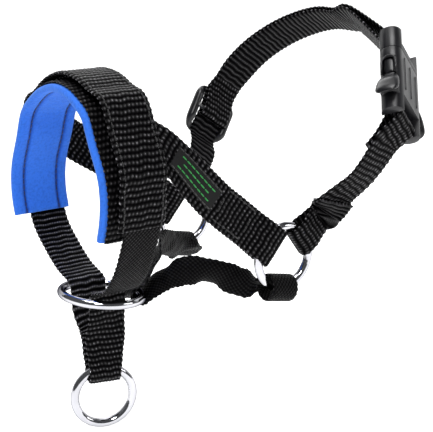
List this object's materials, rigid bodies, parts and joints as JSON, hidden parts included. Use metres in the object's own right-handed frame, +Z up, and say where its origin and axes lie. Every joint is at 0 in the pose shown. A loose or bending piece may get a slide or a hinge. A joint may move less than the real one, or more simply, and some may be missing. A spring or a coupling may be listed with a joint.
{
  "type": "dog head halter",
  "caption": "Webbing head halter for leading a dog: padded nose loop, cheek straps, chin strap and a buckled neck loop joined by round rings.",
  "frame": {"origin": "halfway between the centres of the two cheek rings, which lie on the dog's cheeks", "axes": "+Z up, -X towards the muzzle, +X towards the back of the head, +Y the dog's right"},
  "size_m": [0.1737, 0.1461, 0.1931],
  "materials": {
    "webbing": "coarse ribbed black nylon webbing",
    "chin_webbing": "fine ribbed black nylon webbing",
    "neoprene": "blue laminated padding, matte",
    "lining": "black fuzzy lining strip",
    "chrome": "polished plated steel",
    "acetal": "glossy black moulded plastic",
    "label": "woven black label with plain green bars",
    "thread": "black polyester thread"
  },
  "bodies": {
    "halter": {"nose_strap": "webbing", "nose_overlay": "webbing", "nose_pad_lining": "lining", "nose_pad": "neoprene", "cheek_strap_left": "webbing", "cheek_strap_right": "webbing", "label": "label", "chin_strap": "chin_webbing", "cheek_stitching": "thread", "nose_stitching": "thread"},
    "cheek_ring_l": {"cheek_ring_left": "chrome"},
    "cheek_ring_r": {"cheek_ring_right": "chrome"},
    "chin_ring": {"chin_ring": "chrome"},
    "leash_ring": {"leash_ring": "chrome"},
    "neck": {"neck_strap_short": "webbing", "neck_strap_long": "webbing", "buckle_socket": "acetal"},
    "slider": {"slider": "acetal"},
    "plug": {"buckle_plug": "acetal"},
    "prong_l": {"prong_left": "acetal"},
    "prong_r": {"prong_right": "acetal"}
  },
  "joints": [
    {"name": "neck_fold", "type": "hinge", "parent": "halter", "child": "neck", "pos_m": [0, 0, 0], "axis": [0, 1, 0], "range_deg": [0, 50]},
    {"name": "cheek_ring_left_spin", "type": "hinge", "parent": "halter", "child": "cheek_ring_l", "pos_m": [0, -0.042, 0], "axis": [0, 1, 0], "continuous": true},
    {"name": "cheek_ring_right_spin", "type": "hinge", "parent": "halter", "child": "cheek_ring_r", "pos_m": [0, 0.042, 0], "axis": [0, 1, 0], "continuous": true},
    {"name": "chin_ring_slide", "type": "slide", "parent": "halter", "child": "chin_ring", "axis": [0, 0, -1], "range_m": [0, 0.022], "deforming": ["chin_strap"]},
    {"name": "leash_ring_swing", "type": "hinge", "parent": "halter", "child": "leash_ring", "pos_m": [-0.0735, 0, -0.0525], "axis": [0.9659, -0.2588, 0], "range_deg": [-80, 80]},
    {"name": "slider_adjust", "type": "slide", "parent": "neck", "child": "slider", "axis": [0.563, 0.1909, 0.8041], "range_m": [-0.006, 0.012], "deforming": ["neck_strap_long"]},
    {"name": "buckle_release", "type": "slide", "parent": "neck", "child": "plug", "axis": [0.4699, 0.5738, 0.6708], "range_m": [0, 0.024], "deforming": ["neck_strap_long", "prong_left", "prong_right"]},
    {"name": "prong_left_flex", "type": "hinge", "parent": "plug", "child": "prong_l", "pos_m": [0.0527, -0.0533, 0.0904], "axis": [0.5298, -0.7912, 0.3054], "range_deg": [0, 6], "stiffness_Nm_per_rad": 0.02},
    {"name": "prong_right_flex", "type": "hinge", "parent": "plug", "child": "prong_r", "pos_m": [0.0654, -0.0495, 0.0782], "axis": [-0.5298, 0.7912, -0.3054], "range_deg": [0, 6], "stiffness_Nm_per_rad": 0.02}
  ]
}
